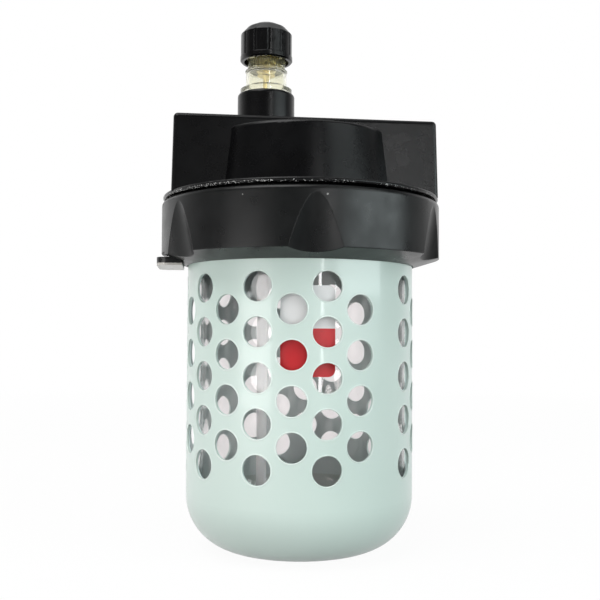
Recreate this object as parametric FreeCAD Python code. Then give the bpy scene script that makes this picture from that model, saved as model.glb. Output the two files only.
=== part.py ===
# Air line lubricator: die cast head with sight dome, threaded clamp ring, clear bowl and perforated guard.
# Millimetres. The origin is the centre of the guard's flat bottom, +Z is up, the ports lie along X
# and the front, with the round boss and the label, faces -Y.
import FreeCAD, Part
import math
import os

# Perforated guard: a drawn steel cup
guard_radius = 52.5
guard_wall = 1.2
guard_height = 140.0
guard_corner = 25.0
guard_rim_reach = 3.8
guard_rim_fillet = 1.0
hole_radius = 6.35
hole_columns = 22
hole_row_pitch = 19.1
hole_top_row = 118.3
hole_rows = 5
strip_bearing = 38.5

# Clear bowl inside the guard
bowl_gap = 2.3
bowl_wall = 3.5
bowl_floor = 4.0
bowl_floor_gap = 4.0
bowl_corner = 22.0
bowl_rim_thickness = 5.8
bowl_rim_inset = 0.3
cushion_thickness = 0.8
cushion_width = 4.0
label_thickness = 0.25
label_gap = 0.02
label_low = 80.5
label_high = 118.8
label_start_bearing = -16.6
label_end_bearing = 10.6
label_corner = 3.0

# Clamp ring that screws up onto the head
ring_wall = 7.5
ring_lip_thickness = 10.0
ring_underside_rise = 3.65
ring_float = 0.2
ring_lip_gap = 0.5
ring_gap = 1.0
ring_edge = 2.0
thread_clearance = 0.3
scallop_count = 6
scallop_bearing = -1.3
scallop_depth = 6.4
scallop_low_radius = 19.0
scallop_taper = 0.23
scallop_overrun = 2.0

# Locking plate and pin under the ring
lock_bearing = -91.3
lock_plate_length = 32.0
lock_plate_reach = 1.6
lock_plate_inset = 10.0
lock_plate_thickness = 3.7
lock_plate_corner = 5.0
lock_plate_drop = 0.7
lock_travel = 2.0
lock_gap = 0.3
lock_pin_radius = 1.8
lock_pin_clearance = 0.15
lock_pin_head_gap = 0.3
lock_grip_section = 0.6

# Head casting
seat_clearance = 0.2
spigot_step = 0.7
spigot_height = 11.9
spigot_cavity_inset = 1.5
spigot_roof = 10.0
flange_inset = 0.5
flange_rim_radius = 1.0
flange_slope = 1.2
block_inset = 4.0
block_depth = 50.0
block_height = 36.2
block_draft = 0.75
block_edge = 2.0
boss_radius = 44.8
boss_taper = 3.0
boss_height = 31.1
boss_edge = 2.0
port_height = 19.1
port_radius = 12.1
port_thread_depth = 20.0
port_chamfer = 1.2
airway_radius = 11.0
seal_section = 1.6
seal_inset = 5.0
groove_clearance = 0.25

# Neck and sight dome
dome_x = -16.7
neck_radius = 13.4
neck_height = 15.4
neck_edge = 1.6
neck_root = 4.0
well_radius = 8.0
well_depth = 9.0
drip_hole_radius = 2.0
dome_flange_radius = 12.15
dome_flange_thickness = 2.2
dome_radius = 9.55
dome_wall = 1.35
dome_spigot_radius = 9.9
dome_spigot_depth = 7.0
dome_spigot_clearance = 0.1
dome_socket_gap = 0.5
dome_window = 10.0
dome_cone = 1.4
dome_hex_radius = 9.9
dome_hex_height = 6.5
dome_hex_chamfer = 1.7
dome_waist_radius = 8.2
dome_bead = 0.45
dome_bead_drop = 1.3
dome_roof = 7.8
dome_inner_corner = 1.5
dome_seal_section = 0.8

# Needle valve and drip spout
spout_shank_radius = 4.5
spout_hex_radius = 6.6
spout_hex_height = 3.0
spout_stem_radius = 1.8
spout_disc_radius = 4.2
spout_disc_thickness = 0.5
spout_disc_drop = 1.5
spout_cone_radius = 2.0
spout_tip_radius = 0.8
spout_nose = 5.3
needle_radius = 0.9
needle_clearance = 0.15
needle_drive_radius = 2.1
needle_drive_length = 5.6
needle_point = 2.6
needle_seat_gap = 0.1
needle_taper = 1.5
orifice_radius = 0.35
needle_seal_section = 0.72
riser_radius = 1.1
riser_bore = 0.6
riser_offset = 6.2
riser_socket = 2.5
riser_end_gap = 0.8

# Adjusting knob
knob_radius = 12.05
knob_height = 17.9
knob_skirt_drop = 3.3
knob_lip_height = 2.6
knob_lip_reach = 0.25
knob_wall = 1.5
knob_top_radius = 5.5
knob_crown = 5.0
knob_shoulder_reach = 3.5
knob_shoulder_drop = 1.7
knob_edge = 0.6
knob_core_height = 7.6
knob_flutes = 12
knob_flute_radius = 1.3
knob_flute_depth = 0.35
insert_radius = 4.2
insert_clearance = 0.5
insert_cover = 1.8
insert_roof = 0.8
drive_clearance = 0.15

# Oil passages and small parts in the head
oil_line_y = 15.5
oil_way_cover = 8.5
siphon_radius = 2.5
siphon_bore = 1.5
siphon_socket = 5.0
siphon_clearance = 0.02
siphon_floor_gap = 3.0
strainer_radius = 5.0
strainer_height = 10.0
strainer_edge = 1.0
strainer_shoulder = 1.5
check_radius = 4.0
check_height = 8.0
check_orifice = 1.2
check_mouth = 2.4
ball_radius = 1.9
ball_gap = 0.03
chamber_radius = 2.6
chamber_height = 6.0
oil_way_radius = 1.4
jet_x = 12.0
jet_radius = 2.5
jet_height = 4.0
jet_orifice = 0.5
venturi_length = 30.0
venturi_throat = 5.5
venturi_throat_length = 6.0
venturi_lip = 1.0
press_gap = 0.02
vane_thickness = 0.8
vane_petals = 4
vane_slot = 1.0
vane_hub = 1.5
vane_rim = 2.0
fill_x = 22.0
fill_y = 15.0
fill_thread_radius = 4.0
fill_thread_length = 9.0
fill_head_radius = 5.6
fill_head_height = 3.2
fill_socket_radius = 2.5
fill_socket_depth = 2.4
fill_edge = 0.6
fill_way_radius = 2.8
fill_seal_section = 0.6

# Allowances: how far a cutting tool runs past a face, and the room round a rubber ring's half section
past = 1.0
seal_fit = 1.05

# Sizes that follow from the ones above
guard_rim_radius = guard_radius + guard_rim_reach
bowl_radius = guard_radius - guard_wall - bowl_gap
bowl_bore = bowl_radius - bowl_wall
bowl_rim_radius = guard_rim_radius - bowl_rim_inset
bowl_base_z = guard_wall + bowl_floor_gap
cushion_z = guard_height + guard_wall
bowl_rim_z = cushion_z + cushion_thickness
bowl_top_z = bowl_rim_z + bowl_rim_thickness
spigot_z = bowl_top_z + seat_clearance
spigot_radius = guard_rim_radius + spigot_step
spigot_cavity_radius = bowl_bore - spigot_cavity_inset
ring_bore = spigot_radius + thread_clearance
ring_radius = ring_bore + ring_wall
flange_z = spigot_z + spigot_height
flange_radius = ring_radius - flange_inset
flange_top_z = flange_z + 2 * flange_rim_radius
block_length = 2 * (flange_radius - block_inset)
roof_z = spigot_z + spigot_roof
block_z = flange_z + flange_rim_radius
block_top_z = flange_z + block_height
boss_top_z = flange_z + boss_height
port_z = flange_z + port_height
ring_ledge_z = guard_height - ring_float
ring_low_z = ring_ledge_z - ring_lip_thickness
ring_side_z = ring_low_z + ring_underside_rise
ring_top_z = flange_z - ring_gap
ring_lip_radius = guard_radius + ring_lip_gap
scallop_axis_radius = ring_radius - scallop_depth + scallop_low_radius
seal_radius = bowl_rim_radius - seal_inset
lock_low_z = ring_low_z - lock_plate_drop
lock_top_z = lock_low_z + lock_plate_thickness
lock_roof_z = lock_top_z + lock_travel + lock_gap
lock_inner = ring_radius - lock_plate_inset
lock_pin_x = ring_bore + ring_wall / 2
neck_top_z = block_top_z + neck_height
well_z = neck_top_z - well_depth
dome_flange_top_z = neck_top_z + dome_flange_thickness
dome_hex_z = dome_flange_top_z + dome_window
dome_top_z = dome_hex_z + dome_hex_height
dome_roof_z = dome_top_z - dome_roof
dome_bore = dome_radius - dome_wall
spout_top_z = dome_top_z + spout_hex_height
spout_tip_z = dome_roof_z - spout_nose
spout_disc_top_z = dome_roof_z - spout_disc_drop
knob_low_z = dome_hex_z + knob_skirt_drop
knob_top_z = knob_low_z + knob_height
knob_core_z = knob_top_z - knob_core_height
knob_side_z = knob_top_z - knob_crown
insert_low_z = spout_top_z + insert_clearance
insert_top_z = knob_top_z - insert_cover
needle_top_z = insert_low_z + needle_drive_length
check_top_z = roof_z + check_height
siphon_low_z = bowl_base_z + bowl_floor + siphon_floor_gap
siphon_top_z = roof_z + siphon_socket
fill_seat_z = block_top_z


def vec(x, y, z):
    return FreeCAD.Vector(x, y, z)


def turned(outline, x=0.0, y=0.0):
    """Solid turned about the vertical line at x, y from (radius, height) points.
    An entry of four numbers is an arc: a point on it, then its end."""
    edges = []
    here = vec(x + outline[0][0], y, outline[0][1])
    for entry in outline[1:] + outline[:1]:
        end = vec(x + entry[-2], y, entry[-1])
        if len(entry) == 4:
            middle = vec(x + entry[0], y, entry[1])
            edges.append(Part.Arc(here, middle, end).toShape())
        elif here.distanceToPoint(end) > 1e-6:
            edges.append(Part.makeLine(here, end))
        here = end
    face = Part.Face(Part.Wire(edges))
    return face.revolve(vec(x, y, 0), vec(0, 0, 1), 360)


def corner(radius, centre_r, centre_z, start, end):
    """Arc entry for turned: from bearing start to end, in degrees, about a centre in the section."""
    middle = math.radians((start + end) / 2)
    last = math.radians(end)
    return (
        centre_r + radius * math.cos(middle),
        centre_z + radius * math.sin(middle),
        centre_r + radius * math.cos(last),
        centre_z + radius * math.sin(last),
    )


def post(radius, low, high, x=0.0, y=0.0):
    """Upright cylinder between two heights."""
    return Part.makeCylinder(radius, high - low, vec(x, y, low))


def hexagon(radius, low, high, x=0.0, y=0.0):
    """Upright six sided bar; radius reaches its corners."""
    points = []
    for step in range(7):
        turn = math.radians(60 * step + 30)
        points.append(vec(x + radius * math.cos(turn), y + radius * math.sin(turn), low))
    return Part.Face(Part.makePolygon(points)).extrude(vec(0, 0, high - low))


def at_bearing(shape, bearing):
    """Turn a shape made on +X to a bearing, which is measured from -Y towards +X."""
    copy = shape.copy()
    copy.rotate(vec(0, 0, 0), vec(0, 0, 1), bearing - 90)
    return copy


def o_ring(centre_radius, section, z, x=0.0, y=0.0):
    """Rubber ring whose round section is drawn with eight flats."""
    outline = []
    for step in range(8):
        turn = math.radians(45 * step + 22.5)
        reach = section / math.cos(math.radians(22.5))
        outline.append((centre_radius + reach * math.cos(turn), z + reach * math.sin(turn)))
    return turned(outline, x, y)


def bowl_guard():
    outer, inner = guard_radius, guard_radius - guard_wall
    bend = guard_corner - guard_wall
    hip = outer - guard_corner
    top = guard_height + guard_wall
    turn_in = guard_rim_fillet
    turn_out = guard_rim_fillet + guard_wall
    shell = turned([
        (0, 0),
        (hip, 0),
        corner(guard_corner, hip, guard_corner, -90, 0),
        (outer, guard_height - turn_in),
        corner(turn_in, outer + turn_in, guard_height - turn_in, 180, 90),
        (guard_rim_radius, guard_height),
        (guard_rim_radius, top),
        (outer + turn_in, top),
        corner(turn_out, outer + turn_in, guard_height - turn_in, 90, 180),
        (inner, guard_corner),
        corner(bend, hip, guard_corner, 0, -90),
        (0, guard_wall),
    ])
    pitch = 360.0 / hole_columns
    half = hole_columns // 2
    punches = []
    for column in range(1, hole_columns):
        if column == half:
            continue
        full = (column % 2 == 1) == (column < half)
        # The first column past the back strip stands midway between its neighbours
        place = column - 0.5 if column == half + 1 else column
        count = hole_rows if full else hole_rows - 1
        first = hole_top_row if full else hole_top_row - hole_row_pitch / 2
        for row in range(count):
            punch = Part.makeCylinder(
                hole_radius,
                4 * guard_rim_reach,
                vec(outer - 2 * guard_rim_reach, 0, first - row * hole_row_pitch),
                vec(1, 0, 0),
            )
            punches.append(at_bearing(punch, strip_bearing + pitch * place))
    return shell.cut(punches)


def guard_cushion():
    outer = bowl_rim_radius
    return post(outer, cushion_z, bowl_rim_z).cut(
        post(outer - cushion_width, cushion_z - past, bowl_rim_z + past)
    )


def bowl():
    bend = bowl_corner - bowl_wall
    hip = bowl_radius - bowl_corner
    floor = bowl_base_z + bowl_floor
    return turned([
        (0, bowl_base_z),
        (hip, bowl_base_z),
        corner(bowl_corner, hip, bowl_base_z + bowl_corner, -90, 0),
        (bowl_radius, bowl_rim_z),
        (bowl_rim_radius, bowl_rim_z),
        (bowl_rim_radius, bowl_top_z),
        (bowl_bore, bowl_top_z),
        (bowl_bore, floor + bend),
        corner(bend, hip, floor + bend, 0, -90),
        (0, floor),
    ])


def bowl_label():
    under = bowl_radius + label_gap
    band = post(under + label_thickness, label_low, label_high).cut(
        post(under, label_low - past, label_high + past)
    )
    reach = 2 * bowl_radius
    middle = (label_start_bearing + label_end_bearing) / 2
    half_angle = math.radians(label_end_bearing - label_start_bearing) / 2
    width = 2 * bowl_radius * math.sin(half_angle)
    window = Part.makeBox(reach, width, label_high - label_low, vec(0, -width / 2, label_low))
    sides = [edge for edge in window.Edges if edge.Length > reach - past]
    window = window.makeFillet(label_corner, sides)
    return band.common(at_bearing(window, middle))


def clamp_ring():
    edge = ring_edge
    body = turned([
        (ring_lip_radius, ring_low_z),
        (ring_radius, ring_side_z),
        (ring_radius, ring_top_z - edge),
        corner(edge, ring_radius - edge, ring_top_z - edge, 0, 90),
        (ring_bore, ring_top_z),
        (ring_bore, ring_ledge_z),
        (ring_lip_radius, ring_ledge_z),
    ])
    height = ring_top_z - ring_low_z + 2 * scallop_overrun
    scallop = Part.makeCone(
        scallop_low_radius,
        scallop_low_radius - scallop_taper * height,
        height,
        vec(scallop_axis_radius, 0, ring_low_z - scallop_overrun),
    )
    cuts = [at_bearing(scallop, scallop_bearing + 360 / scallop_count * k) for k in range(scallop_count)]
    wide = lock_plate_length + 2 * lock_gap
    pocket = Part.makeBox(
        ring_radius,
        wide,
        lock_roof_z - ring_low_z + past,
        vec(lock_inner - lock_gap, -wide / 2, ring_low_z - past),
    )
    bore = post(lock_pin_radius + lock_pin_clearance, ring_low_z, ring_top_z + past, lock_pin_x)
    grip_room = 2 * seal_fit * lock_grip_section
    grip_seat = post(
        lock_pin_radius + grip_room,
        lock_roof_z - past,
        lock_roof_z + grip_room,
        lock_pin_x,
    )
    cuts += [at_bearing(tool, lock_bearing) for tool in (pocket, bore, grip_seat)]
    return body.cut(cuts)


def lock_plate():
    length = lock_plate_length
    reach = ring_radius + lock_plate_reach - lock_inner
    plate = Part.makeBox(reach, length, lock_plate_thickness, vec(lock_inner, -length / 2, lock_low_z))
    outer = [
        edge for edge in plate.Edges
        if abs(edge.tangentAt(edge.FirstParameter).z) > 0.9 and edge.CenterOfMass.x > ring_radius
    ]
    plate = plate.makeFillet(lock_plate_corner, outer)
    hole = post(lock_pin_radius, lock_low_z - past, lock_top_z + past, lock_pin_x)
    return at_bearing(plate.cut(hole), lock_bearing)


def lock_pin():
    top = flange_z - lock_pin_head_gap
    tip = lock_pin_radius / 2
    pin = turned([
        (0, lock_low_z),
        (lock_pin_radius, lock_low_z),
        (lock_pin_radius, top - tip),
        (lock_pin_radius - tip, top),
        (0, top),
    ], lock_pin_x)
    return at_bearing(pin, lock_bearing)


def lock_grip():
    reach = seal_fit * lock_grip_section
    ring = o_ring(lock_pin_radius + reach, lock_grip_section, lock_roof_z + reach, lock_pin_x)
    return at_bearing(ring, lock_bearing)


def port_block():
    low, high = block_z, block_top_z

    def rectangle(z, inset):
        x = block_length / 2 - inset
        y = block_depth / 2 - inset
        corners = [vec(x, y, z), vec(-x, y, z), vec(-x, -y, z), vec(x, -y, z), vec(x, y, z)]
        return Part.makePolygon(corners)

    block = Part.makeLoft([rectangle(low, 0), rectangle(high, block_draft)], True)
    rounded = [edge for edge in block.Edges if edge.CenterOfMass.z > low + past]
    return block.makeFillet(block_edge, rounded)


def head_turning():
    rim = flange_rim_radius
    return turned([
        (spigot_cavity_radius, spigot_z),
        (spigot_radius, spigot_z),
        (spigot_radius, flange_z),
        (flange_radius - rim, flange_z),
        corner(rim, flange_radius - rim, flange_z + rim, -90, 90),
        (boss_radius, flange_top_z + flange_slope),
        (0, flange_top_z + flange_slope),
        (0, roof_z),
        (spigot_cavity_radius, roof_z),
    ])


def body_casting():
    top = boss_radius - boss_taper
    boss = turned([
        (0, flange_z + flange_rim_radius),
        (boss_radius, flange_z + flange_rim_radius),
        (top, boss_top_z - boss_edge),
        corner(boss_edge, top - boss_edge, boss_top_z - boss_edge, 0, 90),
        (0, boss_top_z),
    ])
    neck = turned([
        (0, block_top_z - neck_root),
        (neck_radius, block_top_z - neck_root),
        (neck_radius, neck_top_z - neck_edge),
        corner(neck_edge, neck_radius - neck_edge, neck_top_z - neck_edge, 0, 90),
        (0, neck_top_z),
    ], dome_x)
    casting = port_block().fuse([head_turning(), boss, neck]).removeSplitter()

    half = block_length / 2
    cuts = [Part.makeCylinder(airway_radius, block_length, vec(-half, 0, port_z), vec(1, 0, 0))]
    for side in (-1, 1):
        mouth = vec(side * half, 0, port_z)
        inward = vec(-side, 0, 0)
        cuts.append(Part.makeCylinder(port_radius, port_thread_depth, mouth, inward))
        cuts.append(Part.makeCone(port_radius + port_chamfer, port_radius, port_chamfer, mouth, inward))
    dome_socket = dome_spigot_radius + dome_spigot_clearance
    dome_socket_depth = dome_spigot_depth + dome_socket_gap
    seal_seat = dome_spigot_radius + 2 * seal_fit * dome_seal_section
    cuts.append(post(dome_socket, neck_top_z - dome_socket_depth, neck_top_z + past, dome_x))
    cuts.append(post(seal_seat, neck_top_z - 2 * seal_fit * dome_seal_section, neck_top_z + past, dome_x))
    cuts.append(post(well_radius, well_z, neck_top_z, dome_x))
    cuts.append(post(drip_hole_radius, port_z, neck_top_z, dome_x))
    cuts.append(post(riser_radius, well_z - riser_socket, well_z + past, dome_x, riser_offset))

    check_roof = check_top_z + chamber_height
    oil_top = block_top_z - oil_way_cover
    cuts.append(post(check_radius, roof_z - past, check_top_z, dome_x, oil_line_y))
    cuts.append(post(chamber_radius, check_top_z - past, check_roof, dome_x, oil_line_y))
    cuts.append(post(oil_way_radius, check_roof - past, oil_top, dome_x, oil_line_y))
    start = vec(dome_x, oil_line_y, oil_top - riser_radius)
    finish = vec(dome_x, riser_offset, well_z - riser_socket)
    cuts.append(Part.makeCylinder(riser_radius, start.distanceToPoint(finish), start, finish - start))
    cuts.append(post(jet_radius, roof_z - past, roof_z + jet_height, jet_x))
    cuts.append(post(jet_orifice, roof_z, port_z, jet_x))
    cuts.append(post(fill_way_radius, roof_z - past, fill_seat_z, fill_x, fill_y))
    fill_low = fill_seat_z - fill_thread_length - past
    cuts.append(post(fill_thread_radius, fill_low, fill_seat_z, fill_x, fill_y))

    groove = seal_section + groove_clearance
    slot_top = spigot_z + 2 * seal_section
    slot = post(seal_radius + groove, spigot_z - past, slot_top).cut(
        post(seal_radius - groove, spigot_z - past, slot_top)
    )
    cuts.append(slot)
    lock_hole_top = flange_z + lock_travel + flange_rim_radius
    lock_hole = post(lock_pin_radius + lock_pin_head_gap, flange_z - past, lock_hole_top, lock_pin_x)
    cuts.append(at_bearing(lock_hole, lock_bearing))
    return casting.cut(cuts)


def bowl_seal():
    return o_ring(seal_radius, seal_section, bowl_top_z + seal_section)


def sight_dome():
    socket_low = neck_top_z - dome_spigot_depth
    bead_z = dome_hex_z - dome_bead_drop
    outside = turned([
        (0, socket_low),
        (dome_spigot_radius, socket_low),
        (dome_spigot_radius, neck_top_z),
        (dome_flange_radius, neck_top_z),
        (dome_flange_radius, dome_flange_top_z),
        (dome_radius, dome_flange_top_z + dome_cone),
        (dome_radius, bead_z - dome_bead),
        corner(dome_bead, dome_radius, bead_z, -90, 90),
        (dome_waist_radius, bead_z + dome_bead),
        (dome_waist_radius, dome_hex_z + past),
        (0, dome_hex_z + past),
    ], dome_x)
    chamfered = turned([
        (0, dome_hex_z),
        (dome_waist_radius, dome_hex_z),
        (dome_hex_radius, dome_hex_z + dome_hex_chamfer),
        (dome_hex_radius, dome_top_z),
        (0, dome_top_z),
    ], dome_x)
    flats = hexagon(dome_hex_radius, dome_hex_z, dome_top_z, dome_x).common(chamfered)
    outside = outside.fuse(flats)
    cavity = turned([
        (0, socket_low - past),
        (dome_bore, socket_low - past),
        (dome_bore, dome_roof_z - dome_inner_corner),
        corner(dome_inner_corner, dome_bore - dome_inner_corner, dome_roof_z - dome_inner_corner, 0, 90),
        (0, dome_roof_z),
    ], dome_x)
    return outside.cut([cavity, post(spout_shank_radius, dome_roof_z - past, dome_top_z + past, dome_x)])


def dome_seal():
    reach = seal_fit * dome_seal_section
    return o_ring(dome_spigot_radius + reach, dome_seal_section, neck_top_z - reach, dome_x)


def drip_spout():
    shank = turned([
        (0, spout_tip_z),
        (spout_tip_radius, spout_tip_z),
        (spout_cone_radius, spout_disc_top_z - spout_disc_thickness),
        (spout_disc_radius, spout_disc_top_z - spout_disc_thickness),
        (spout_disc_radius, spout_disc_top_z),
        (spout_stem_radius, spout_disc_top_z),
        (spout_stem_radius, dome_roof_z),
        (spout_shank_radius, dome_roof_z),
        (spout_shank_radius, dome_top_z),
        (0, dome_top_z),
    ], dome_x)
    spout = shank.fuse(hexagon(spout_hex_radius, dome_top_z, spout_top_z, dome_x))
    seal_room = 2 * seal_fit * needle_seal_section
    return spout.cut([
        post(needle_radius + needle_clearance, spout_tip_z + needle_point, spout_top_z + past, dome_x),
        post(orifice_radius, spout_tip_z - past, spout_tip_z + needle_point + past, dome_x),
        post(needle_radius + seal_room, spout_top_z - seal_room, spout_top_z + past, dome_x),
    ])


def metering_needle():
    low = spout_tip_z + needle_point + needle_seat_gap
    drive = insert_low_z + insert_clearance
    stem = turned([
        (0, low),
        (needle_radius, low + needle_taper),
        (needle_radius, drive),
        (0, drive),
    ], dome_x)
    return stem.fuse(hexagon(needle_drive_radius, drive, needle_top_z, dome_x))


def needle_seal():
    reach = seal_fit * needle_seal_section
    return o_ring(needle_radius + reach, needle_seal_section, spout_top_z - reach, dome_x)


def riser_tube():
    low, high = well_z - riser_socket, dome_roof_z - riser_end_gap
    return post(riser_radius, low, high, dome_x, riser_offset).cut(
        post(riser_bore, low - past, high + past, dome_x, riser_offset)
    )


def adjusting_knob():
    lip = knob_radius + knob_lip_reach
    lip_top = knob_low_z + knob_lip_height
    inside = knob_radius - knob_wall
    knob = turned([
        (0, knob_low_z),
        (lip - knob_edge, knob_low_z),
        (lip, knob_low_z + knob_edge),
        (lip, lip_top - knob_lip_reach),
        (knob_radius, lip_top),
        (knob_radius, knob_side_z),
        (knob_top_radius + knob_shoulder_reach, knob_top_z - knob_shoulder_drop),
        (knob_top_radius, knob_top_z),
        (0, knob_top_z),
    ], dome_x)
    cuts = [post(inside, knob_low_z - past, knob_core_z, dome_x)]
    cuts.append(post(insert_radius, knob_core_z - past, insert_top_z, dome_x))
    flute_at = knob_radius + knob_flute_radius - knob_flute_depth
    for k in range(knob_flutes):
        turn = 2 * math.pi * k / knob_flutes
        x = dome_x + flute_at * math.cos(turn)
        y = flute_at * math.sin(turn)
        cuts.append(post(knob_flute_radius, lip_top, knob_top_z + past, x, y))
    return knob.cut(cuts)


def knob_insert():
    drive = needle_drive_radius + drive_clearance
    return post(insert_radius, insert_low_z, insert_top_z, dome_x).cut(
        hexagon(drive, insert_low_z - past, insert_top_z - insert_roof, dome_x)
    )


def siphon_tube():
    low = siphon_low_z + strainer_height / 2
    return post(siphon_radius, low, siphon_top_z, dome_x, oil_line_y).cut(
        post(siphon_bore, low - past, siphon_top_z + past, dome_x, oil_line_y)
    )


def pickup_strainer():
    low, high = siphon_low_z, siphon_low_z + strainer_height
    middle = low + strainer_height / 2
    body = turned([
        (0, low),
        (strainer_radius - strainer_edge, low),
        (strainer_radius, low + strainer_edge),
        (strainer_radius, high - strainer_shoulder),
        (strainer_radius - strainer_shoulder, high),
        (0, high),
    ], dome_x, oil_line_y)
    return body.cut([
        post(siphon_radius + siphon_clearance, middle, high + past, dome_x, oil_line_y),
        post(siphon_bore, low + strainer_shoulder, middle + past, dome_x, oil_line_y),
    ])


def check_seat():
    socket = siphon_radius + siphon_clearance
    return turned([
        (check_orifice, siphon_top_z),
        (socket, siphon_top_z),
        (socket, roof_z),
        (check_radius, roof_z),
        (check_radius, check_top_z),
        (check_mouth, check_top_z),
        (check_orifice, check_top_z - (check_mouth - check_orifice)),
    ], dome_x, oil_line_y)


def check_ball():
    cone_apex = check_top_z - check_mouth
    z = cone_apex + math.sqrt(2) * ball_radius + ball_gap
    return Part.makeSphere(ball_radius, vec(dome_x, oil_line_y, z))


def bowl_jet():
    return post(jet_radius, roof_z, roof_z + jet_height, jet_x).cut(
        post(jet_orifice, roof_z - past, roof_z + jet_height + past, jet_x)
    )


def along_airway(shape):
    """Lay a shape turned about the vertical along the airway, its own height becoming X."""
    shape.rotate(vec(0, 0, 0), vec(0, 1, 0), 90)
    shape.translate(vec(0, 0, port_z))
    return shape


def venturi_insert():
    start = dome_x - venturi_length / 2
    finish = dome_x + venturi_length / 2
    outer = airway_radius - press_gap
    body = along_airway(turned([
        (outer - venturi_lip, start),
        (outer, start),
        (outer, finish),
        (outer - venturi_lip, finish),
        (venturi_throat, dome_x + venturi_throat_length / 2),
        (venturi_throat, dome_x - venturi_throat_length / 2),
    ]))
    return body.cut(post(drip_hole_radius, port_z, port_z + airway_radius + past, dome_x))


def flow_vane():
    start = dome_x + venturi_length / 2
    outer = airway_radius - press_gap
    disc = post(outer, start, start + vane_thickness)
    slots = []
    for k in range(vane_petals):
        reach = outer - vane_rim - vane_hub
        depth = vane_thickness + 2 * past
        slot = Part.makeBox(reach, vane_slot, depth, vec(vane_hub, -vane_slot / 2, start - past))
        slot.rotate(vec(0, 0, 0), vec(0, 0, 1), 45 + 360 / vane_petals * k)
        slots.append(slot)
    return along_airway(disc.cut(slots))


def fill_plug():
    head_top = fill_seat_z + fill_head_height
    plug = turned([
        (0, fill_seat_z - fill_thread_length),
        (fill_thread_radius - press_gap, fill_seat_z - fill_thread_length),
        (fill_thread_radius - press_gap, fill_seat_z + 2 * fill_seal_section),
        (fill_head_radius, fill_seat_z + 2 * fill_seal_section),
        (fill_head_radius, head_top - fill_edge),
        (fill_head_radius - fill_edge, head_top),
        (0, head_top),
    ], fill_x, fill_y)
    socket_floor = head_top - fill_socket_depth
    return plug.cut(hexagon(fill_socket_radius, socket_floor, head_top + past, fill_x, fill_y))


def fill_plug_seal():
    z = fill_seat_z + fill_seal_section
    return o_ring(fill_thread_radius + seal_fit * fill_seal_section, fill_seal_section, z, fill_x, fill_y)


SUBPARTS = {
    "body_casting": body_casting,
    "clamp_ring": clamp_ring,
    "bowl_guard": bowl_guard,
    "bowl": bowl,
    "bowl_label": bowl_label,
    "guard_cushion": guard_cushion,
    "bowl_seal": bowl_seal,
    "lock_plate": lock_plate,
    "lock_pin": lock_pin,
    "lock_grip": lock_grip,
    "sight_dome": sight_dome,
    "dome_seal": dome_seal,
    "drip_spout": drip_spout,
    "metering_needle": metering_needle,
    "needle_seal": needle_seal,
    "riser_tube": riser_tube,
    "adjusting_knob": adjusting_knob,
    "knob_insert": knob_insert,
    "siphon_tube": siphon_tube,
    "pickup_strainer": pickup_strainer,
    "check_seat": check_seat,
    "check_ball": check_ball,
    "bowl_jet": bowl_jet,
    "venturi_insert": venturi_insert,
    "flow_vane": flow_vane,
    "fill_plug": fill_plug,
    "fill_plug_seal": fill_plug_seal,
}

os.makedirs("parts", exist_ok=True)
for name, make in SUBPARTS.items():
    shape = make()
    shape.exportStep(f"parts/{name}.step")
    size = shape.BoundBox
    print(
        f"{name}: {len(shape.Solids)} solid, {shape.Volume:.1f} mm3, valid {shape.isValid()}, "
        f"z {size.ZMin:.2f} to {size.ZMax:.2f}"
    )
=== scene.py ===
# %% [markdown]
# An air line lubricator, dressed for its portrait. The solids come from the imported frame: a black
# cast head, a clamp ring with thumb scallops, a mint green perforated guard, a clear bowl, and a small
# sight dome with a fluted knob. This lesson gives each of them its finish, adds the few forms that are
# too fine for the solids, and lights them as a catalogue photograph would.

# %% Load the frame
import math

import bpy
from mathutils import Matrix, Vector


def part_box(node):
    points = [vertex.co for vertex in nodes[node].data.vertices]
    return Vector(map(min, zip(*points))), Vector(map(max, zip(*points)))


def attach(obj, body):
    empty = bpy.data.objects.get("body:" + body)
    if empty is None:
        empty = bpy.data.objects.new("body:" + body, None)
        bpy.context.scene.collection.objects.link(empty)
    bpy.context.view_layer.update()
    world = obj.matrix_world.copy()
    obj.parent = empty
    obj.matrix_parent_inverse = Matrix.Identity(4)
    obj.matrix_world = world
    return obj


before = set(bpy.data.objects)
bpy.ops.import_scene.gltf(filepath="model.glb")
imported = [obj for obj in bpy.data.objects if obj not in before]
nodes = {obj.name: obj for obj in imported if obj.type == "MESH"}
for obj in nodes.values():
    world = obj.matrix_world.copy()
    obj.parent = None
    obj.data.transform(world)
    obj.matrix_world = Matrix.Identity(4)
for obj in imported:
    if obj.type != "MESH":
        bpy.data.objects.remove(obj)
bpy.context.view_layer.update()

# %% [markdown]
# Sizes are read from the solids, so that a finish keeps to the piece it belongs to: the ring and the head
# give the heights where one piece ends. Only the guard's drawn wall lies inside its box, because the rim
# reaches out further, so its radius is written down.

# %% Sizes read from the solids
MM = 0.001
ring_low, ring_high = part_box("clamp_ring")
head_low, head_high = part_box("body_casting")
dome_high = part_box("sight_dome")[1]
knob_low, knob_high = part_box("adjusting_knob")
label_low, label_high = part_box("bowl_label")
latch_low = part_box("lock_plate")[0]
guard_radius = 52.5 * MM
ring_radius = ring_high.x
dome_x = (knob_low.x + knob_high.x) / 2
print("ring top in mm:", round(ring_high.z / MM, 2), "dome axis in mm:", round(dome_x / MM, 2))

# %% [markdown]
# The camera stands where the photographer's did. A fit of the guard's hole centres puts it 421 mm from
# the bowl's axis, 97.5 mm above the guard's base and 7 degrees round to the left, looking up by a little
# over 2 degrees, with the picture turned a third of a degree.

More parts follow.
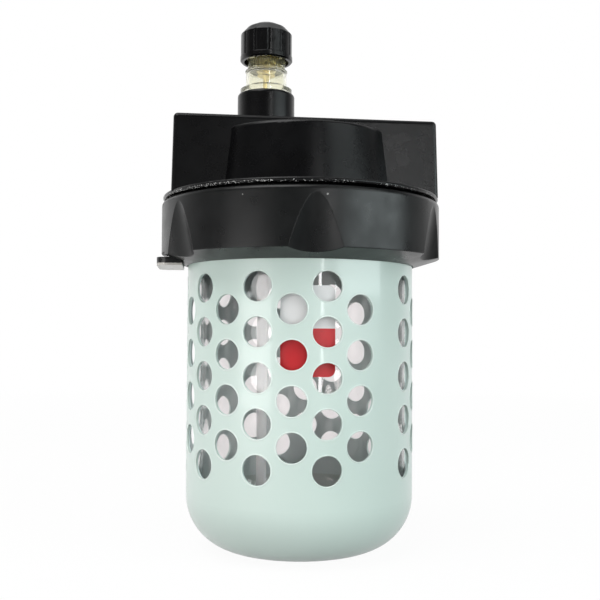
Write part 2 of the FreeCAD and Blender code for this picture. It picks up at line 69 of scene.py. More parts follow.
# %% Camera
CAMERA_DISTANCE = 420.95 * MM
CAMERA_HEIGHT = 97.5 * MM
CAMERA_BEARING = math.radians(-7.02)
CAMERA_PITCH = math.radians(2.321)
CAMERA_ROLL = math.radians(0.313)
FOCAL_PIXELS = 892.84
PICTURE_PIXELS = 600
SENSOR = 36.0


def add_camera():
    data = bpy.data.cameras.new("camera")
    data.sensor_width = SENSOR
    data.lens = SENSOR * FOCAL_PIXELS / PICTURE_PIXELS
    data.clip_start = 0.01
    camera = bpy.data.objects.new("camera", data)
    bpy.context.scene.collection.objects.link(camera)
    across, ahead = math.sin(CAMERA_BEARING), -math.cos(CAMERA_BEARING)
    camera.location = (CAMERA_DISTANCE * across, CAMERA_DISTANCE * ahead, CAMERA_HEIGHT)
    level = math.cos(CAMERA_PITCH)
    look = Vector((-across * level, -ahead * level, math.sin(CAMERA_PITCH)))
    turn = look.to_track_quat("-Z", "Y").to_matrix() @ Matrix.Rotation(CAMERA_ROLL, 3, "Z")
    camera.rotation_euler = turn.to_euler()
    bpy.context.scene.camera = camera
    return camera


camera = add_camera()
print("lens in mm:", round(camera.data.lens, 2))

# %% [markdown]
# A small table of helpers keeps each finish short. A finish is a node tree around one Principled shader,
# and its patterns read Object coordinates in metres, so a scale of 1000 gives grain about a millimetre
# across. Noise keeps mostly between 0.3 and 0.7, and an uneven value is stretched from that.

# %% Material helpers
NOISE_LOW, NOISE_HIGH = 0.3, 0.7
LEVEL_FROM, LEVEL_TO = 0.6, 0.9


class Finish:
    """One material: its node tree, its shader and short ways to add nodes."""

    def __init__(self, name, color, roughness, **sockets):
        self.material = bpy.data.materials.new(name)
        self.material.use_nodes = True
        self.tree = self.material.node_tree
        self.shader = self.tree.nodes["Principled BSDF"]
        self.shader.inputs["Base Color"].default_value = (*color, 1.0)
        self.shader.inputs["Roughness"].default_value = roughness
        for socket, value in sockets.items():
            self.shader.inputs[socket.replace("_", " ")].default_value = value
        self.place = self.node("ShaderNodeTexCoord").outputs["Object"]

    def node(self, kind, **settings):
        made = self.tree.nodes.new(kind)
        for setting, value in settings.items():
            setattr(made, setting, value)
        return made

    def link(self, source, target):
        self.tree.links.new(source, target)

    def noise(self, scale, detail=3.0, roughness=0.5):
        made = self.node("ShaderNodeTexNoise")
        made.inputs["Scale"].default_value = scale
        made.inputs["Detail"].default_value = detail
        made.inputs["Roughness"].default_value = roughness
        self.link(self.place, made.inputs["Vector"])
        return made.outputs["Fac"]

    def axis(self, letter):
        split = self.node("ShaderNodeSeparateXYZ")
        self.link(self.place, split.inputs[0])
        return split.outputs[letter]

    def facing_up(self):
        """1 on faces that look up, 0 on walls and undersides."""
        split = self.node("ShaderNodeSeparateXYZ")
        self.link(self.node("ShaderNodeNewGeometry").outputs["True Normal"], split.inputs[0])
        return self.step(split.outputs["Z"], LEVEL_FROM, LEVEL_TO)

    def math(self, operation, first, second=0.0, third=None):
        made = self.node("ShaderNodeMath", operation=operation)
        for socket, value in zip(made.inputs, (first, second, third)):
            if value is None:
                continue
            if isinstance(value, (int, float)):
                socket.default_value = value
            else:
                self.link(value, socket)
        return made.outputs[0]

    def all_of(self, *masks):
        """Product of masks, 1 where every one of them is 1."""
        product = masks[0]
        for mask in masks[1:]:
            product = self.math("MULTIPLY", product, mask)
        return product

    def radius(self, x=0.0, y=0.0):
        """Distance from the upright line at x, y."""
        across = self.math("SUBTRACT", self.axis("X"), x)
        along = self.math("SUBTRACT", self.axis("Y"), y)
        return self.length(across, along)

    def length(self, *parts):
        """Length of a vector given by its parts."""
        total = 0.0
        for part in parts:
            total = self.math("ADD", total, self.math("MULTIPLY", part, part))
        return self.math("SQRT", total)

    def step(self, value, low, high, start=0.0, end=1.0):
        """Ramp from start to end while value goes from low to high."""
        made = self.node("ShaderNodeMapRange")
        for name, number in zip(("From Min", "From Max", "To Min", "To Max"), (low, high, start, end)):
            made.inputs[name].default_value = number
        self.link(value, made.inputs["Value"])
        return made.outputs["Result"]

    def mix(self, factor, first, second):
        """Colour mix; first and second are colours or sockets."""
        made = self.node("ShaderNodeMix", data_type="RGBA")
        if isinstance(factor, (int, float)):
            made.inputs["Factor"].default_value = factor
        else:
            self.link(factor, made.inputs["Factor"])
        for name, value in (("A", first), ("B", second)):
            socket = next(s for s in made.inputs if s.name == name and s.type == "RGBA")
            if isinstance(value, tuple):
                socket.default_value = (*value, 1.0)
            else:
                self.link(value, socket)
        return next(s for s in made.outputs if s.type == "RGBA")

    def color(self, source):
        self.link(source, self.shader.inputs["Base Color"])

    def soften(self, radius):
        """Shade sharp edges as if they were rounded to this radius."""
        made = self.node("ShaderNodeBevel", samples=6)
        made.inputs["Radius"].default_value = radius
        self.link(made.outputs["Normal"], self.shader.inputs["Normal"])

    def roughness(self, source):
        self.link(source, self.shader.inputs["Roughness"])

    def uneven(self, scale, low, high, detail=3.0):
        """Value that wanders from low to high over the surface."""
        return self.step(self.noise(scale, detail), NOISE_LOW, NOISE_HIGH, low, high)

    def grain(self, scale, detail, depth, strength):
        """Relief from noise, depth in metres."""
        self.bump(self.noise(scale, detail), depth, strength)

    def bump(self, height, depth, strength=1.0):
        """Bump whose full height is depth in metres; each call stacks on the last one."""
        made = self.node("ShaderNodeBump")
        made.inputs["Strength"].default_value = strength
        made.inputs["Distance"].default_value = depth
        self.link(height, made.inputs["Height"])
        before = self.shader.inputs["Normal"].links
        if before:
            self.link(before[0].from_socket, made.inputs["Normal"])
        self.link(made.outputs["Normal"], self.shader.inputs["Normal"])


def dress(finish, *names):
    for name in names:
        slots = nodes[name].data.materials
        slots.clear()
        slots.append(finish.material)
    print(finish.material.name, "on", ", ".join(names))


# %% [markdown]
# The head is a die casting under satin black paint. Sprayed paint keeps a fine pebble from the casting
# below and a slower waviness from the spray, so two bumps of different grain are stacked. Where the
# flange meets the ring, handling has chipped the paint, and bare grey metal shows as small specks along
# the lower edge, most of them on the left: a noise threshold held to that edge by height and radius. Dust
# dulls the faces that look up. The spigot's thread and the pipe threads in the ports are helical bumps,
# because they show only when the ring is unscrewed or a port is looked into.

# %% Black paint on the head
PAINT = (0.0019, 0.0019, 0.0022)
PAINT_DUST = (0.0042, 0.0044, 0.0050)
BARE_METAL = (0.50, 0.50, 0.49)
TOP_DULLNESS = 0.38
THREAD_PITCH = 3.5 * MM
flange_edge_z = ring_high.z + 1.0 * MM
flange_radius = ring_radius - 0.5 * MM
spigot_radius = 57.0 * MM
PORT_Z = 179.0 * MM
PORT_RADIUS = 12.1 * MM
PORT_PITCH = 1.8 * MM
PORT_DEPTH = 24 * MM
PORT_SKIN = 0.15 * MM
PORT_THREAD_HEIGHT = 1.1 * MM
SPIGOT_THREAD_HEIGHT = 1.6 * MM
SPIGOT_SKIN = (spigot_radius - 0.3 * MM, spigot_radius + 0.2 * MM)
LEFT_FROM, LEFT_TO = -10 * MM, -34 * MM
CHIPPED_BELOW, CHIPPED_ABOVE = 0.1 * MM, 0.9 * MM
CHIPPED_INWARD = 1.2 * MM
SPECK_FROM, SPECK_TO = 0.615, 0.65
PATCH_FROM, PATCH_TO = 0.44, 0.52
LEFT_SPECKS, LEFT_PATCHES = 0.05, 0.2


def helix_bump(finish, low, high, skin):
    """Thread ridges about the upright axis, between two heights and the two radii of the skin."""
    turn = finish.math("DIVIDE", finish.math("ARCTAN2", finish.axis("Y"), finish.axis("X")), 2 * math.pi)
    phase = finish.math("SUBTRACT", finish.math("DIVIDE", finish.axis("Z"), THREAD_PITCH), turn)
    ridge = finish.math("PINGPONG", phase, 0.5)
    window = finish.all_of(
        finish.math("GREATER_THAN", finish.radius(), skin[0]),
        finish.math("LESS_THAN", finish.radius(), skin[1]),
        finish.math("GREATER_THAN", finish.axis("Z"), low),
        finish.math("LESS_THAN", finish.axis("Z"), high),
    )
    finish.bump(finish.math("MULTIPLY", ridge, window), SPIGOT_THREAD_HEIGHT)


def port_thread(finish):
    """Pipe thread in both ports: ridges about the line along X through the ports."""
    up = finish.math("SUBTRACT", finish.axis("Z"), PORT_Z)
    turn = finish.math("DIVIDE", finish.math("ARCTAN2", up, finish.axis("Y")), 2 * math.pi)
    phase = finish.math("SUBTRACT", finish.math("DIVIDE", finish.axis("X"), PORT_PITCH), turn)
    ridge = finish.math("PINGPONG", phase, 0.5)
    off_wall = finish.math("SUBTRACT", finish.length(up, finish.axis("Y")), PORT_RADIUS)
    away = finish.math("ABSOLUTE", off_wall)
    deep = finish.math("GREATER_THAN", finish.math("ABSOLUTE", finish.axis("X")), head_high.x - PORT_DEPTH)
    window = finish.all_of(finish.math("LESS_THAN", away, PORT_SKIN), deep)
    finish.bump(finish.math("MULTIPLY", ridge, window), PORT_THREAD_HEIGHT)


def head_paint():
    finish = Finish("satin_black_paint", PAINT, 0.28, Specular_IOR_Level=0.26)
    cloud = finish.noise(60, 3)
    color = finish.mix(finish.step(cloud, 0.40, 0.90), PAINT, PAINT_DUST)
    band = finish.all_of(
        finish.math("LESS_THAN", finish.axis("Z"), flange_edge_z + CHIPPED_ABOVE),
        finish.math("GREATER_THAN", finish.axis("Z"), flange_edge_z - CHIPPED_BELOW),
        finish.math("GREATER_THAN", finish.radius(), flange_radius - CHIPPED_INWARD),
    )
    left_side = finish.step(finish.axis("X"), LEFT_FROM, LEFT_TO)
    more_specks = finish.math("MULTIPLY", left_side, LEFT_SPECKS)
    speck = finish.step(finish.math("ADD", finish.noise(1300, 1, 0.6), more_specks), SPECK_FROM, SPECK_TO)
    more_patches = finish.math("MULTIPLY", left_side, LEFT_PATCHES)
    patch = finish.step(finish.math("ADD", finish.noise(70, 1), more_patches), PATCH_FROM, PATCH_TO)
    finish.color(finish.mix(finish.all_of(speck, patch, band), color, BARE_METAL))
    satin = finish.uneven(140, 0.26, 0.30)
    finish.roughness(finish.math("ADD", satin, finish.math("MULTIPLY", finish.facing_up(), TOP_DULLNESS)))
    finish.grain(1500, 2, 0.05 * MM, 0.35)
    finish.grain(220, 2, 0.10 * MM, 0.12)
    helix_bump(finish, head_low.z, flange_edge_z - 0.2 * MM, SPIGOT_SKIN)
    port_thread(finish)
    return finish


dress(head_paint(), "body_casting")

# %% [markdown]
# The clamp ring wears the same paint, a little smoother from the hands that turn it. Two chips no bigger
# than a grain of sugar show on its face, each a small ragged spot at its own bearing and height. The thumb
# plate below it is painted too, and a pale band along its lip is a painted reflection of the white
# surroundings on its lower edge.

# %% Black paint on the ring and the thumb plate
RING_PAINT = (0.0038, 0.0041, 0.0043)
RING_DUST = (0.0080, 0.0088, 0.0090)
CHIP = (0.30, 0.30, 0.29)
CHIPS = [(2.7, 4.1 * MM, 0.40 * MM), (-28.3, 3.9 * MM, 0.28 * MM)]
RING_THREAD_START = 11 * MM
RING_SKIN = (spigot_radius + 0.1 * MM, spigot_radius + 0.6 * MM)
LIP_HEIGHT = 1.1 * MM
LIP_FADE = 0.35 * MM
# Painted reflection: the pale lip colour stands in for the white surroundings mirrored on the lower edge.
LIP_PAINTED_REFLECTION = (0.52, 0.50, 0.47)


def spot(finish, x, y, z, radius):
    """Ragged round spot about a point."""
    parts = [finish.math("SUBTRACT", finish.axis(letter), value) for letter, value in zip("XYZ", (x, y, z))]
    wander = finish.math("MULTIPLY", finish.noise(1600, 2), radius)
    ragged = finish.math("ADD", finish.length(*parts), wander)
    return finish.step(ragged, radius * 1.35, radius * 1.5, 1.0, 0.0)


def ring_paint():
    finish = Finish("ring_black_paint", RING_PAINT, 0.3, Specular_IOR_Level=0.32)
    finish.soften(0.7 * MM)
    color = finish.mix(finish.step(finish.noise(45, 3), 0.4, 0.75), RING_PAINT, RING_DUST)
    for bearing, drop, size in CHIPS:
        turn = math.radians(bearing)
        x, y = ring_radius * math.sin(turn), -ring_radius * math.cos(turn)
        color = finish.mix(spot(finish, x, y, ring_high.z - drop, size), color, CHIP)
    finish.color(color)
    satin = finish.uneven(110, 0.26, 0.36)
    finish.roughness(finish.math("ADD", satin, finish.math("MULTIPLY", finish.facing_up(), TOP_DULLNESS)))
    finish.grain(1500, 2, 0.05 * MM, 0.35)
    finish.grain(180, 2, 0.10 * MM, 0.20)
    helix_bump(finish, ring_low.z + RING_THREAD_START, ring_high.z - 0.3 * MM, RING_SKIN)
    return finish


def latch_paint():
    finish = Finish("thumb_plate_paint", RING_PAINT, 0.30)
    finish.soften(0.5 * MM)
    edge = finish.math("ADD", finish.axis("Z"), finish.math("MULTIPLY", finish.noise(420, 2), 0.5 * MM))
    # Painted reflection: a pale band along the lower edge of the lip, over the black paint.
    pale_lip_reflection = finish.step(edge, latch_low.z + LIP_HEIGHT, latch_low.z + LIP_HEIGHT + LIP_FADE, 1.0, 0.0)
    finish.color(finish.mix(pale_lip_reflection, RING_PAINT, LIP_PAINTED_REFLECTION))
    finish.grain(900, 2, 0.04 * MM, 0.3)
    return finish


dress(ring_paint(), "clamp_ring")
dress(latch_paint(), "lock_plate")

# %% [markdown]
# The guard is steel under baked enamel, pale mint outside. The inner face gets only a thin coat, and its
# colour is painted lighter than the outside, as painted light for the dim space behind the holes, so the
# colour changes with the distance from the axis.

# %% Mint enamel
MINT = (0.650, 0.772, 0.718)
MINT_SHADE = (0.612, 0.738, 0.682)
# Painted light: the inner coat is lighter than the outer mint and stands in for light the inside lacks.
INNER_COAT_PAINTED_LIGHT = (0.72, 0.88, 0.86)
INNER_FACE_DEPTH = 0.9 * MM
BEND_TOP = 26 * MM


def guard_enamel(name, shade, inner):
    finish = Finish(name, shade, 0.3, Coat_Weight=0.4, Coat_Roughness=0.06)
    color = finish.mix(finish.step(finish.noise(16, 2), 0.35, 0.7), shade, MINT_SHADE)
    inside = finish.all_of(
        finish.math("LESS_THAN", finish.radius(), guard_radius - INNER_FACE_DEPTH),
        finish.math("GREATER_THAN", finish.axis("Z"), BEND_TOP),
    )
    # Inside the guard the given inner colour is used, which for the guard is painted light.
    finish.color(finish.mix(inside, color, inner))
    finish.roughness(finish.uneven(300, 0.28, 0.36, detail=2.0))
    finish.grain(420, 2, 0.05 * MM, 0.14)
    return finish


dress(guard_enamel("mint_enamel", MINT, INNER_COAT_PAINTED_LIGHT), "bowl_guard")

# %% [markdown]
# Enamel gathers in a bead round each punched hole, painted paler than the enamel as a painted highlight
# on its rounded edge. The ninety beads are one Geometry Nodes tree, and it works by rule: a circle is
# laid on the guard's curve, swept into a bead, and set on ninety points whose bearing and height come
# from their index. Nine points make a pair of columns, five holes and then four holes half a pitch lower.
# A plain strip is left out at the front right, and at the back one column stands midway between its
# neighbours, one and a half steps from each.

# %% Enamel beads round the holes
GUARD_COLUMNS = 22
LONG_COLUMN = 5
PAIR_HOLES = 2 * LONG_COLUMN - 1
PAIRS = GUARD_COLUMNS // 2 - 1
HOLE_RADIUS = 6.35 * MM
ROW_PITCH = 19.1 * MM
TOP_ROW = 118.3 * MM
STRIP_BEARING = math.radians(38.5)
BEAD_RADIUS = 0.30 * MM
BEAD_SUNK = 0.45
BEAD_CORNERS, SECTION_CORNERS = 40, 8
# Painted highlight: the beads are paler than the mint, standing in for the shine on their rounded edge.
BEAD_PAINTED_HIGHLIGHT = (0.80, 0.885, 0.845)


class Tree:
    """A Geometry Nodes tree with named inputs and short ways to add nodes."""

    def __init__(self, name, **inputs):
        self.tree = bpy.data.node_groups.new(name, "GeometryNodeTree")
        self.tree.interface.new_socket("Geometry", in_out="OUTPUT", socket_type="NodeSocketGeometry")
        self.values = inputs
        for key, value in inputs.items():
            kind = "NodeSocketInt" if isinstance(value, int) else "NodeSocketFloat"
            self.tree.interface.new_socket(key, in_out="INPUT", socket_type=kind)
        self.given = self.tree.nodes.new("NodeGroupInput").outputs
        self.end = self.tree.nodes.new("NodeGroupOutput")

    def node(self, kind, inputs=None, **settings):
        made = self.tree.nodes.new(kind)
        for setting, value in settings.items():
            setattr(made, setting, value)
        for key, value in (inputs or {}).items():
            self.put(made.inputs[key], value)
        return made.outputs[0]

    def put(self, socket, value):
        if isinstance(value, bpy.types.NodeSocket):
            self.tree.links.new(value, socket)
        else:
            socket.default_value = value

    def math(self, operation, first, second=0.0):
        return self.node("ShaderNodeMath", {0: first, 1: second}, operation=operation)

    def xyz(self, x, y, z):
        return self.node("ShaderNodeCombineXYZ", {"X": x, "Y": y, "Z": z})

    def finish(self, geometry, material):
        """Realize the instances, set the material and return the tree's result as one plain piece."""
        real = self.node("GeometryNodeRealizeInstances", {"Geometry": geometry})
        dressed = self.node("GeometryNodeSetMaterial", {"Geometry": real, "Material": material})
        self.tree.links.new(dressed, self.end.inputs[0])
        name = self.tree.name
        host = bpy.data.objects.new(name + "_host", bpy.data.meshes.new(name + "_host"))
        bpy.context.scene.collection.objects.link(host)
        modifier = host.modifiers.new("rule", "NODES")
        modifier.node_group = self.tree
        for item in self.tree.interface.items_tree:
            if item.in_out == "INPUT":
                modifier[item.identifier] = self.values[item.name]
        ready = host.evaluated_get(bpy.context.evaluated_depsgraph_get())
        mesh = bpy.data.meshes.new_from_object(ready)
        bpy.data.objects.remove(host)
        mesh.name = name
        mesh.shade_smooth()
        piece = bpy.data.objects.new(name, mesh)
        bpy.context.scene.collection.objects.link(piece)
        print(name, "faces:", len(mesh.polygons))
        return piece


def bead_ring(rule):
    """One bead: a circle laid on the guard's curve and given a round section."""
    size = rule.given
    radius = rule.math("ADD", size["hole_radius"], size["bead_radius"])
    circle = rule.node("GeometryNodeCurvePrimitiveCircle", {"Resolution": BEAD_CORNERS, "Radius": radius})
    place = rule.tree.nodes.new("GeometryNodeInputPosition").outputs[0]
    split = rule.tree.nodes.new("ShaderNodeSeparateXYZ")
    rule.put(split.inputs[0], place)
    across, up = split.outputs["X"], split.outputs["Y"]
    sunk = rule.math("MULTIPLY", size["bead_radius"], BEAD_SUNK)
    seat = rule.math("SUBTRACT", size["guard_radius"], sunk)
    seat_square = rule.math("MULTIPLY", seat, seat)
    depth = rule.math("SQRT", rule.math("SUBTRACT", seat_square, rule.math("MULTIPLY", across, across)))
    bent = rule.node("GeometryNodeSetPosition",
                     {"Geometry": circle, "Position": rule.xyz(depth, across, up)})
    section = rule.node("GeometryNodeCurvePrimitiveCircle",
                        {"Resolution": SECTION_CORNERS, "Radius": size["bead_radius"]})
    return rule.node("GeometryNodeCurveToMesh", {"Curve": bent, "Profile Curve": section})


def hole_column(rule, pair, short):
    """Column number: none at the strip or at the back, and the one past the back half a step early."""
    past_back = rule.math("GREATER_THAN", pair, PAIRS / 2 - 0.5)
    next_pair = rule.math("GREATER_THAN", pair, PAIRS / 2 + 0.5)
    column = rule.math("ADD", rule.math("MULTIPLY", pair, 2.0), 1.0)
    column = rule.math("ADD", column, rule.math("ADD", past_back, short))
    midway = rule.math("SUBTRACT", rule.math("SUBTRACT", past_back, next_pair), short)
    return rule.math("SUBTRACT", column, rule.math("MULTIPLY", rule.math("MAXIMUM", midway, 0.0), 0.5))


def bead_tree():
    rule = Tree("hole_beads", guard_radius=guard_radius, hole_radius=HOLE_RADIUS, bead_radius=BEAD_RADIUS,
                row_pitch=ROW_PITCH, top_row=TOP_ROW, strip_bearing=STRIP_BEARING, columns=GUARD_COLUMNS)
    size = rule.given
    index = rule.tree.nodes.new("GeometryNodeInputIndex").outputs[0]
    pair = rule.math("FLOOR", rule.math("DIVIDE", index, PAIR_HOLES))
    place = rule.math("SUBTRACT", index, rule.math("MULTIPLY", pair, PAIR_HOLES))
    short = rule.math("GREATER_THAN", place, LONG_COLUMN - 0.5)
    row = rule.math("SUBTRACT", place, rule.math("MULTIPLY", short, LONG_COLUMN - 0.5))
    height = rule.math("SUBTRACT", size["top_row"], rule.math("MULTIPLY", row, size["row_pitch"]))
    step = rule.math("DIVIDE", 2 * math.pi, size["columns"])
    along = rule.math("MULTIPLY", hole_column(rule, pair, short), step)
    turn = rule.math("SUBTRACT", rule.math("ADD", size["strip_bearing"], along), math.pi / 2)
    points = rule.node("GeometryNodePoints",
                       {"Count": PAIRS * PAIR_HOLES, "Position": rule.xyz(0.0, 0.0, height)})
    spread = rule.node("GeometryNodeInstanceOnPoints",
                       {"Points": points, "Instance": bead_ring(rule),
                        "Rotation": rule.xyz(0.0, 0.0, turn)})
    # The beads wear a paler enamel, a painted highlight.
    return rule.finish(spread, guard_enamel("bead_enamel_highlight", BEAD_PAINTED_HIGHLIGHT, BEAD_PAINTED_HIGHLIGHT).material)


beads = bead_tree()
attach(beads, "bowl_group")

# %% [markdown]
# The bowl is moulded polycarbonate. It is a closed wall with a true thickness, so a refracting shader
# works as it stands. Moulding leaves it very slightly wavy.

# %% Clear bowl
CLEAR = (0.920, 0.900, 0.900)


def let_lamps_through(finish, tint):
    """Clear plastic passes the lamps' light on, tinted, in place of a black shadow."""
    rays = finish.node("ShaderNodeLightPath").outputs
    clear = finish.node("ShaderNodeBsdfTransparent")
    clear.inputs["Color"].default_value = (*tint, 1.0)
    mix = finish.node("ShaderNodeMixShader")
    finish.link(rays["Is Shadow Ray"], mix.inputs[0])
    finish.link(finish.shader.outputs[0], mix.inputs[1])
    finish.link(clear.outputs[0], mix.inputs[2])
    finish.link(mix.outputs[0], finish.tree.nodes["Material Output"].inputs["Surface"])


def clear_bowl():
    finish = Finish("clear_polycarbonate", CLEAR, 0.02, Transmission_Weight=1.0, IOR=1.5)
    finish.grain(90, 1, 0.08 * MM, 0.25)
    let_lamps_through(finish, CLEAR)
    return finish


dress(clear_bowl(), "bowl")

# %% [markdown]
# The label is printed film stuck on the bowl: a red field below and a white one above. Its lettering is
# left off, so only the two fields remain, parted by height on the label itself.

# %% Label film
LABEL_RED = (0.60, 0.016, 0.022)
LABEL_WHITE = (0.82, 0.81, 0.81)
LABEL_RED_WORN = (0.50, 0.02, 0.022)
RED_SHARE = 0.53


def label_film():
    finish = Finish("label_film", LABEL_WHITE, 0.35)
    border_z = label_low.z + RED_SHARE * (label_high.z - label_low.z)
    ragged = finish.math("ADD", finish.axis("Z"), finish.math("MULTIPLY", finish.noise(2500, 1), 0.06 * MM))
    lower = finish.math("LESS_THAN", ragged, border_z)
    worn = finish.mix(finish.step(finish.noise(240, 3), 0.55, 0.8), LABEL_RED, LABEL_RED_WORN)
    finish.color(finish.mix(lower, LABEL_WHITE, worn))
    finish.grain(500, 1, 0.03 * MM, 0.3)
    return finish


dress(label_film(), "bowl_label")

# %% [markdown]
# The dome is a clear nylon with a straw tint that deepens where the wall is thick, as at its hexagon. A
# refracting shader with a pale yellow colour does both, because light that passes more surfaces is tinted
# more often. Nylon is never quite clear, so a small share of the light is scattered back.

# %% Sight dome
STRAW = (0.955, 0.945, 0.84)
STRAW_THICK = (0.93, 0.90, 0.60)
HEXAGON_HEIGHT = 6.5 * MM


def dome_plastic():
    finish = Finish("straw_clear_dome", STRAW, 0.03, Transmission_Weight=0.93, IOR=1.49)
    hex_z = dome_high.z - HEXAGON_HEIGHT
    amber = finish.step(finish.axis("Z"), hex_z - 0.5 * MM, hex_z + 0.2 * MM)
    finish.color(finish.mix(amber, STRAW, STRAW_THICK))
    finish.grain(260, 1, 0.05 * MM, 0.3)
    let_lamps_through(finish, STRAW)
    return finish


dress(dome_plastic(), "sight_dome")

# %% [markdown]
# Small parts: turned brass with faint tool rings, sintered bronze that is all grain, plain steel, black
# moulded plastic for the knob, a milky tube, and black rubber.

# %% Small parts
BRASS = (0.72, 0.60, 0.32)
BRASS_BRIGHT = (0.76, 0.65, 0.36)
BRASS_DULL = (0.60, 0.49, 0.24)
BRONZE = (0.50, 0.34, 0.18)
STEEL = (0.55, 0.55, 0.56)
MILKY = (0.88, 0.88, 0.86)
RUBBER = (0.018, 0.018, 0.018)
FIBRE = (0.30, 0.25, 0.19)
FIBRE_PALE = (0.34, 0.28, 0.21)
FIBRE_DARK = (0.24, 0.20, 0.15)
TOOL_RING = 0.35 * MM
CROWN_DULLNESS = 0.14
KNOB_BLACK = (0.0022, 0.0022, 0.0024)
# Painted sheen: the crown is a little lighter than the sides, standing in for the sky it reflects.
KNOB_CROWN_SHEEN = (0.006, 0.007, 0.007)
CROWN_HEIGHT = 5.0 * MM
CROWN_FADE = 0.6 * MM


def turned_brass():
    finish = Finish("turned_brass", BRASS, 0.28, Metallic=1.0)
    finish.color(finish.mix(finish.noise(300, 3), BRASS_BRIGHT, BRASS_DULL))
    rings = finish.math("SINE", finish.math("MULTIPLY", finish.axis("Z"), 2 * math.pi / TOOL_RING))
    finish.bump(rings, 0.02 * MM, 0.25)
    return finish


def sintered_bronze():
    finish = Finish("sintered_bronze", BRONZE, 0.55, Metallic=1.0)
    finish.grain(2600, 2, 0.35 * MM, 0.9)
    return finish


def plain_steel():
    finish = Finish("plain_steel", STEEL, 0.30, Metallic=1.0)
    finish.roughness(finish.uneven(700, 0.24, 0.38))
    return finish


def knob_plastic():
    finish = Finish("knob_black_plastic", KNOB_BLACK, 0.2, Specular_IOR_Level=0.45)
    crown_z = knob_high.z - CROWN_HEIGHT
    crown = finish.step(finish.axis("Z"), crown_z, crown_z + CROWN_FADE)
    # Painted sheen on the crown; its added roughness is the crown's own duller surface.
    finish.color(finish.mix(crown, KNOB_BLACK, KNOB_CROWN_SHEEN))
    side = finish.uneven(400, 0.18, 0.25)
    finish.roughness(finish.math("ADD", side, finish.math("MULTIPLY", crown, CROWN_DULLNESS)))
    finish.grain(500, 2, 0.03 * MM, 0.12)
    return finish


def milky_tube():
    finish = Finish("milky_tube", MILKY, 0.35, Subsurface_Weight=0.1)
    finish.grain(300, 1, 0.03 * MM, 0.2)
    return finish


def black_rubber():
    finish = Finish("black_rubber", RUBBER, 0.65)
    finish.grain(1200, 2, 0.04 * MM, 0.4)
    return finish


def pressed_fibre():
    finish = Finish("pressed_fibre", FIBRE, 0.8)
    finish.color(finish.mix(finish.noise(800, 4), FIBRE_PALE, FIBRE_DARK))
    return finish


dress(turned_brass(), "drip_spout", "metering_needle", "riser_tube", "knob_insert", "check_seat",
      "bowl_jet", "venturi_insert")
dress(sintered_bronze(), "pickup_strainer")
dress(plain_steel(), "lock_pin", "check_ball", "flow_vane", "fill_plug")
dress(knob_plastic(), "adjusting_knob")
dress(milky_tube(), "siphon_tube")
dress(black_rubber(), "bowl_seal", "dome_seal", "needle_seal", "lock_grip", "fill_plug_seal")
dress(pressed_fibre(), "guard_cushion")

# %% [markdown]
# The studio: one sheet that is both floor and backdrop, curving up behind, so no horizon shows. It is
# white to the camera, and to glass and metal that look back at it, and part of its colour is its own glow.
# For the light that it throws back on the object it is pale on the left and dark on the right, as with a
# black card there. In front the studio stays dark, as behind a photographer: black paint stays black.

# %% Floor and backdrop
FLOOR_GLOW = 0.95
FLOOR_LEFT = (0.85, 0.85, 0.85)
FLOOR_RIGHT = (0.06, 0.06, 0.06)
FLOOR_SEEN = (0.90, 0.90, 0.90)
DARK_FROM, DARK_TO = 0.10, -0.30
PALE_TO, BLACK_FROM = -0.22, 0.12
GLOW_FROM, GLOW_TO = 0.5, 1.3
BEND_STEPS = 12


def sweep_sheet():
    """Floor that bends up into a wall behind the object."""
    half_width, near, bend_start, bend_radius, top = 3.0, -3.0, 1.2, 0.8, 2.0
    profile = [(near, 0.0), (bend_start, 0.0)]
    for step in range(1, BEND_STEPS + 1):
        turn = math.pi / 2 * step / BEND_STEPS
        profile.append((bend_start + bend_radius * math.sin(turn), bend_radius * (1 - math.cos(turn))))
    profile.append((bend_start + bend_radius, top))
    verts = [(x, y, z) for y, z in profile for x in (-half_width, half_width)]
    faces = [(2 * i, 2 * i + 1, 2 * i + 3, 2 * i + 2) for i in range(len(profile) - 1)]
    mesh = bpy.data.meshes.new("studio_sweep")
    mesh.from_pydata(verts, [], faces)
    mesh.shade_smooth()
    sheet = bpy.data.objects.new("studio_sweep", mesh)
    bpy.context.scene.collection.objects.link(sheet)
    return sheet


def sweep_material():
    finish = Finish("studio_white", FLOOR_SEEN, 0.9)
    glow = finish.node("ShaderNodeEmission")
    glow.inputs["Color"].default_value = (1, 1, 1, 1)
    rays = finish.node("ShaderNodeLightPath").outputs
    behind = finish.step(finish.axis("Y"), DARK_TO, DARK_FROM)
    mirrored = finish.math("MULTIPLY", rays["Is Glossy Ray"], behind)
    seen = finish.math("MAXIMUM", rays["Is Camera Ray"], mirrored)
    seen = finish.math("MAXIMUM", seen, rays["Is Transmission Ray"])
    side = finish.mix(finish.step(finish.axis("X"), PALE_TO, BLACK_FROM), FLOOR_LEFT, FLOOR_RIGHT)
    finish.color(finish.mix(rays["Is Camera Ray"], side, FLOOR_SEEN))
    glow_share = finish.step(finish.radius(), GLOW_FROM, GLOW_TO, FLOOR_GLOW, 1.0)
    mix = finish.node("ShaderNodeMixShader")
    finish.link(finish.math("MULTIPLY", seen, glow_share), mix.inputs[0])
    finish.link(finish.shader.outputs[0], mix.inputs[1])
    finish.link(glow.outputs[0], mix.inputs[2])
    finish.link(mix.outputs[0], finish.tree.nodes["Material Output"].inputs["Surface"])
    return finish.material


floor = sweep_sheet()
floor.data.materials.append(sweep_material())

# %% [markdown]
# Two boxes on the front left are the key: a large one high up, and a low one that shines under the ring
# and mirrors in the bowl behind the holes. A low wide box on the right lies in the black ring as a grey
# sheen, one above it lifts the right side of the enamel, dimmer ones carry the sheen to the front and
# answer it on the left, and a narrow strip draws the upright line in the enamel.

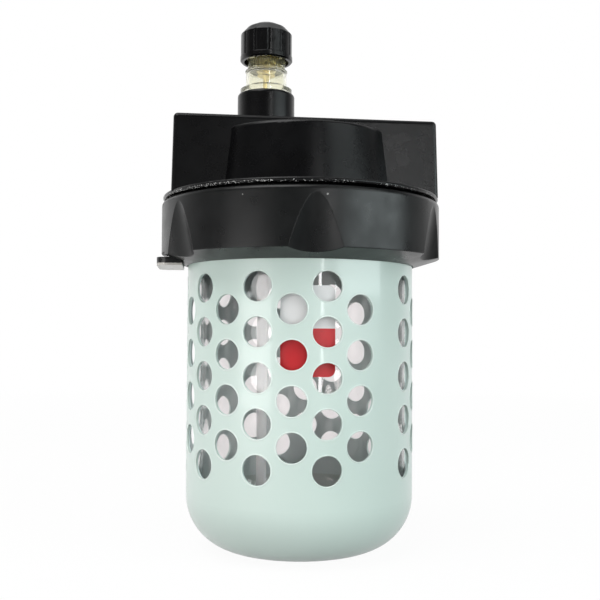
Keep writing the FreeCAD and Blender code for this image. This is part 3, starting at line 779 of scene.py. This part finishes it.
# %% Lamps and world
ROOM_LIGHT = 0.30
FRONT_LOW = 0.14
FRONT_HIGH = 0.02
CEILING = 0.06
FRONT_RISE = (0.24, 0.40)
BACK_RISE = (-0.05, 0.75)
CEILING_RISE = (0.55, 0.80)


def soft_box(name, place, aim, size, power, color=(1, 1, 1)):
    data = bpy.data.lights.new(name, "AREA")
    data.shape = "RECTANGLE"
    data.size, data.size_y = size
    data.energy = power
    data.color = color
    lamp = bpy.data.objects.new(name, data)
    lamp.location = place
    lamp.rotation_euler = (Vector(aim) - Vector(place)).to_track_quat("-Z", "Y").to_euler()
    bpy.context.scene.collection.objects.link(lamp)


middle = (0, 0, 0.12)
soft_box("key_box", (-0.90, -0.75, 2.4), middle, (1.8, 1.8), 38)
soft_box("low_key_box", (-0.57, -0.49, 0.09), (0, 0, 0.09), (0.42, 0.165), 1.15, (1.0, 0.985, 0.975))
soft_box("right_low_box", (0.97, -0.71, 0.33), middle, (1.1, 0.32), 5.8, (0.88, 0.99, 1.0))
soft_box("right_high_box", (0.85, -0.75, 0.95), middle, (0.8, 0.5), 3.0, (0.94, 1.0, 1.0))
soft_box("right_front_box", (0.37, -1.14, 0.28), middle, (0.5, 0.4), 0.32)
soft_box("left_low_box", (-1.16, -0.31, 0.26), middle, (1.3, 0.4), 0.15)
soft_box("front_strip", (0.27, -1.08, 0.22), middle, (0.05, 0.7), 1.5)
soft_box("top_box", (0.0, 0.15, 1.3), middle, (1.2, 1.0), 3)


def room():
    """White to the camera and through glass, dark in front to reflections, dim to everything else."""
    world = bpy.data.worlds.new("studio_room")
    world.use_nodes = True
    tree = world.node_tree
    rays = tree.nodes.new("ShaderNodeLightPath").outputs
    split = tree.nodes.new("ShaderNodeSeparateXYZ")
    tree.links.new(tree.nodes.new("ShaderNodeTexCoord").outputs["Generated"], split.inputs[0])

    def ramp(source, low, high, start, end):
        made = tree.nodes.new("ShaderNodeMapRange")
        tree.links.new(source, made.inputs["Value"])
        for name, value in (("From Min", low), ("From Max", high), ("To Min", start), ("To Max", end)):
            if isinstance(value, (int, float)):
                made.inputs[name].default_value = value
            else:
                tree.links.new(value, made.inputs[name])
        return made.outputs["Result"]

    front = ramp(split.outputs["Z"], *FRONT_RISE, FRONT_LOW, FRONT_HIGH)
    mirrored = ramp(split.outputs["Y"], *BACK_RISE, front, 1.0)
    mirrored = ramp(split.outputs["Z"], *CEILING_RISE, mirrored, CEILING)
    level = ramp(rays["Is Glossy Ray"], 0.0, 1.0, ROOM_LIGHT, mirrored)
    seen = tree.nodes.new("ShaderNodeMath")
    seen.operation = "MAXIMUM"
    tree.links.new(rays["Is Camera Ray"], seen.inputs[0])
    tree.links.new(rays["Is Transmission Ray"], seen.inputs[1])
    level = ramp(seen.outputs[0], 0.0, 1.0, level, 1.0)
    sky = tree.nodes["Background"]
    sky.inputs["Color"].default_value = (1, 1, 1, 1)
    tree.links.new(level, sky.inputs["Strength"])
    bpy.context.scene.world = world


room()
bpy.context.scene.view_settings.view_transform = "Standard"
print("lamps:", len(bpy.data.lights))
